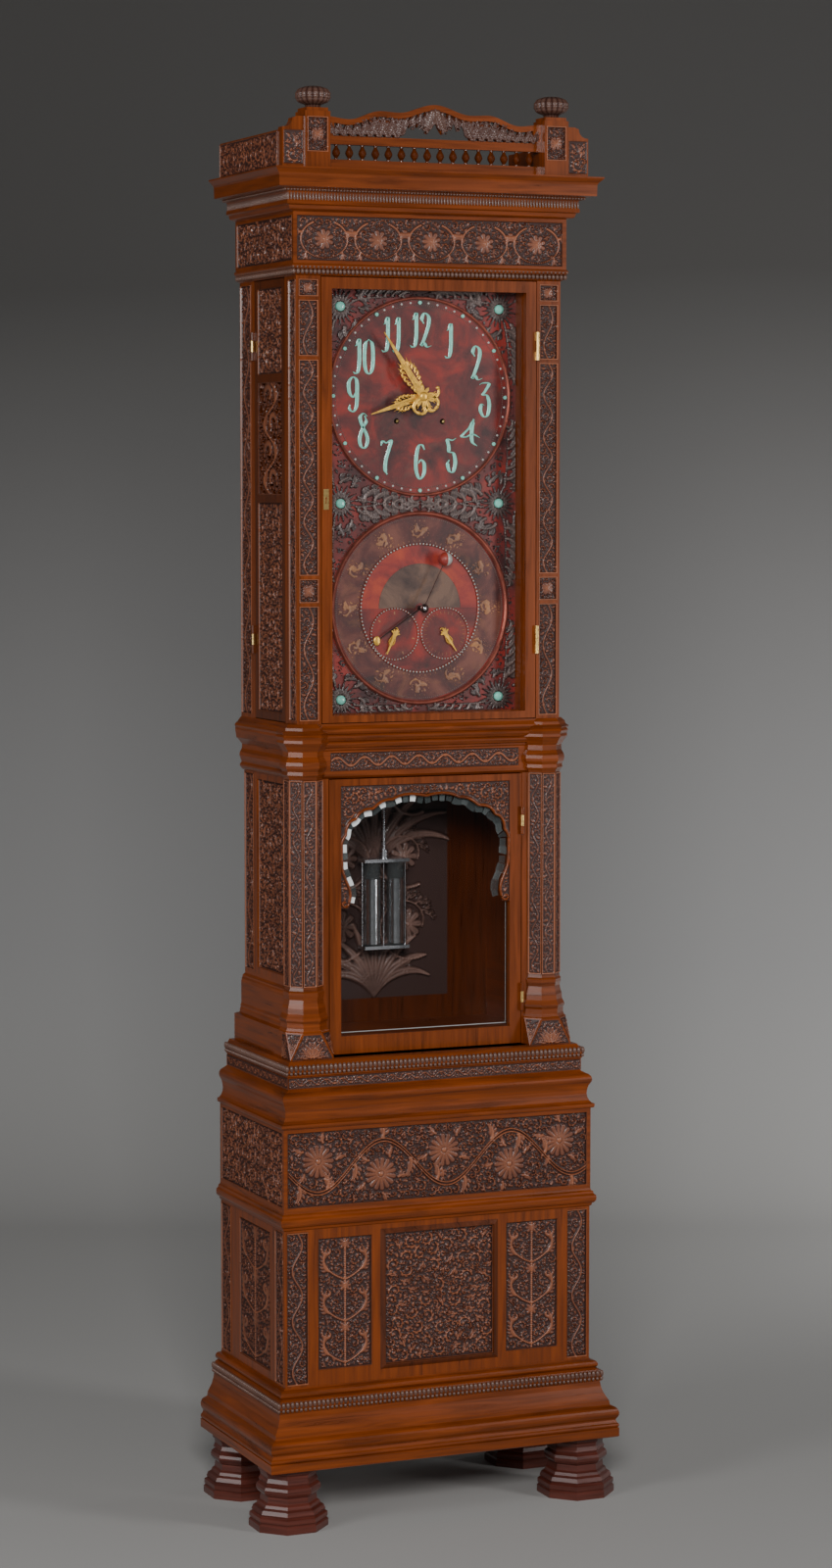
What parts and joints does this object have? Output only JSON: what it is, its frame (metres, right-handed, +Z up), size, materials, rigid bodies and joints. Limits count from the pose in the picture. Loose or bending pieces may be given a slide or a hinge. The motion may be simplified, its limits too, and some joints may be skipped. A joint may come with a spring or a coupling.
{
  "type": "tall case clock",
  "caption": "Tall carved longcase clock: glazed dial door over a glazed arched trunk door between octagonal columns, with a mercury pendulum, moulded plinth and spindle gallery.",
  "frame": {"origin": "centre of the bounding box, on the floor under the feet", "axes": "+Z up, the front with its dial faces -Y, +X to the right of someone looking at the front"},
  "size_m": [0.698, 0.367, 2.54],
  "materials": {
    "brass": "lacquered brass",
    "carved_mahogany": "darker carved mahogany with waxed highlights",
    "clear_glass": "clear plate glass",
    "dark_iron": "dark bronzed metal",
    "gilt": "gilt, polished",
    "gut_line": "twisted gut",
    "mahogany": "french-polished reddish mahogany",
    "mercury_metal": "liquid metal, bright",
    "oxblood_lacquer": "mottled oxblood lacquer on board",
    "steel": "polished steel",
    "turquoise": "turquoise enamel"
  },
  "bodies": {
    "case": {"feet": "carved_mahogany", "base_moulding": "mahogany", "plinth_case": "mahogany", "plinth_panels": "carved_mahogany", "big_frieze": "carved_mahogany", "ogee_moulding": "mahogany", "trunk_base": "mahogany", "columns": "carved_mahogany", "lower_sides": "mahogany", "lower_jambs": "mahogany", "middle_cornice": "mahogany", "backboard": "carved_mahogany", "corner_posts": "mahogany", "upper_frieze": "carved_mahogany", "top_cornice": "mahogany", "gallery_frame": "mahogany", "finials": "carved_mahogany", "gallery_crest": "carved_mahogany", "gallery_spindles": "carved_mahogany", "dial_surround": "mahogany", "dial_plate": "oxblood_lacquer", "dial_rings": "dark_iron", "dial_studs": "turquoise", "seatboard": "mahogany", "movement_plates": "brass", "suspension_bracket": "steel", "bell": "steel", "case_hinges": "brass", "going_line": "gut_line", "strike_line": "gut_line"},
    "upper_door": {"upper_door_frame": "mahogany", "upper_door_glass": "clear_glass", "upper_door_fittings": "brass"},
    "lower_door": {"lower_door_frame": "mahogany", "arch_fret": "carved_mahogany", "lower_door_glass": "clear_glass"},
    "left_side_door": {"side_door_left": "mahogany"},
    "right_side_door": {"side_door_right": "mahogany"},
    "centre_arbor": {"centre_arbor": "brass", "minute_hand": "gilt"},
    "hour_hand": {"hour_hand": "gilt"},
    "minute_wheel": {"minute_wheel": "brass"},
    "going_wheel": {"going_great_wheel": "brass"},
    "going_barrel": {"going_barrel": "brass"},
    "third_wheel": {"third_wheel": "brass"},
    "escape_wheel": {"escape_wheel": "brass"},
    "pallets": {"pallets": "steel"},
    "pendulum": {"pendulum_rod": "steel", "pendulum_jars": "clear_glass", "mercury": "mercury_metal"},
    "going_weight": {"going_weight": "brass"},
    "strike_weight": {"strike_weight": "brass"},
    "strike_wheel": {"strike_great_wheel": "brass"},
    "strike_barrel": {"strike_barrel": "brass"},
    "pin_wheel": {"pin_wheel": "brass"},
    "hammer": {"hammer": "steel"},
    "day_hand": {"day_hand": "gilt"},
    "date_hand": {"date_hand": "gilt"},
    "moon_arm": {"moon_arm": "steel"},
    "sun_arm": {"sun_arm": "gilt"}
  },
  "joints": [
    {"name": "upper_door_hinge", "type": "hinge", "parent": "case", "child": "upper_door", "pos_m": [0.20875, -0.1015, 1.8215], "axis": [0, 0, 1], "range_deg": [0, 110]},
    {"name": "lower_door_hinge", "type": "hinge", "parent": "case", "child": "lower_door", "pos_m": [0.18825, -0.085, 1.0815], "axis": [0, 0, 1], "range_deg": [0, 90]},
    {"name": "left_side_door_hinge", "type": "hinge", "parent": "case", "child": "left_side_door", "pos_m": [-0.259, 0.11025, 1.8215], "axis": [0, 0, -1], "range_deg": [0, 110]},
    {"name": "right_side_door_hinge", "type": "hinge", "parent": "case", "child": "right_side_door", "pos_m": [0.259, 0.11025, 1.8215], "axis": [0, 0, 1], "range_deg": [0, 110]},
    {"name": "minute_hand_turn", "type": "hinge", "parent": "case", "child": "centre_arbor", "pos_m": [0, -0.03, 2.007], "axis": [0, 1, 0], "continuous": true},
    {"name": "hour_hand_turn", "type": "hinge", "parent": "case", "child": "hour_hand", "pos_m": [0, -0.05, 2.007], "axis": [0, 1, 0], "continuous": true},
    {"name": "minute_wheel_turn", "type": "hinge", "parent": "case", "child": "minute_wheel", "pos_m": [0, -0.03, 1.975], "axis": [0, 1, 0], "continuous": true},
    {"name": "going_wheel_turn", "type": "hinge", "parent": "case", "child": "going_wheel", "pos_m": [0.0447, -0.01, 1.9633], "axis": [0, 1, 0], "continuous": true},
    {"name": "going_barrel_wind", "type": "hinge", "parent": "case", "child": "going_barrel", "pos_m": [0.0447, 0.02, 1.9633], "axis": [0, 1, 0], "continuous": true},
    {"name": "third_wheel_turn", "type": "hinge", "parent": "case", "child": "third_wheel", "pos_m": [0.02574, 0.03, 2.03217], "axis": [0, 1, 0], "continuous": true},
    {"name": "escape_wheel_turn", "type": "hinge", "parent": "case", "child": "escape_wheel", "pos_m": [0, 0.03, 2.04872], "axis": [0, 1, 0], "continuous": true},
    {"name": "pendulum_swing", "type": "hinge", "parent": "case", "child": "pendulum", "pos_m": [0, 0.119, 2.077], "axis": [0, 1, 0], "range_deg": [-2.5, 2.5]},
    {"name": "pallets_rock", "type": "hinge", "parent": "case", "child": "pallets", "pos_m": [0, 0.03, 2.077], "axis": [0, 1, 0], "range_deg": [-2.5, 2.5]},
    {"name": "strike_wheel_turn", "type": "hinge", "parent": "case", "child": "strike_wheel", "pos_m": [-0.0447, 0.07, 1.9633], "axis": [0, 1, 0], "continuous": true},
    {"name": "strike_barrel_wind", "type": "hinge", "parent": "case", "child": "strike_barrel", "pos_m": [-0.0447, 0.02, 1.9633], "axis": [0, 1, 0], "continuous": true},
    {"name": "pin_wheel_turn", "type": "hinge", "parent": "case", "child": "pin_wheel", "pos_m": [-0.0547, 0.06, 2.0082], "axis": [0, 1, 0], "continuous": true},
    {"name": "hammer_strike", "type": "hinge", "parent": "case", "child": "hammer", "pos_m": [-0.07, 0.03, 2.045], "axis": [0, 1, 0], "range_deg": [-15, 6]},
    {"name": "moon_turn", "type": "hinge", "parent": "case", "child": "moon_arm", "pos_m": [0, -0.06, 1.6295], "axis": [0, 1, 0], "continuous": true},
    {"name": "sun_turn", "type": "hinge", "parent": "case", "child": "sun_arm", "pos_m": [0, -0.05, 1.6295], "axis": [0, 1, 0], "continuous": true},
    {"name": "day_hand_turn", "type": "hinge", "parent": "case", "child": "day_hand", "pos_m": [-0.049, -0.05, 1.5835], "axis": [0, 1, 0], "continuous": true},
    {"name": "date_hand_turn", "type": "hinge", "parent": "case", "child": "date_hand", "pos_m": [0.049, -0.05, 1.5835], "axis": [0, 1, 0], "continuous": true},
    {"name": "going_weight_drop", "type": "slide", "parent": "case", "child": "going_weight", "axis": [0, 0, 1], "range_m": [-0.72, 0], "deforming": ["going_line"]},
    {"name": "strike_weight_drop", "type": "slide", "parent": "case", "child": "strike_weight", "axis": [0, 0, 1], "range_m": [-0.72, 0], "deforming": ["strike_line"]}
  ],
  "couplings": [
    {"joint": "hour_hand_turn", "follows": "minute_hand_turn", "ratio": 0.083333},
    {"joint": "minute_wheel_turn", "follows": "minute_hand_turn", "ratio": -1},
    {"joint": "going_wheel_turn", "follows": "minute_hand_turn", "ratio": -0.083333},
    {"joint": "third_wheel_turn", "follows": "minute_hand_turn", "ratio": -8},
    {"joint": "escape_wheel_turn", "follows": "minute_hand_turn", "ratio": 60},
    {"joint": "pallets_rock", "follows": "pendulum_swing", "ratio": 1},
    {"joint": "pin_wheel_turn", "follows": "strike_wheel_turn", "ratio": -10.5}
  ]
}
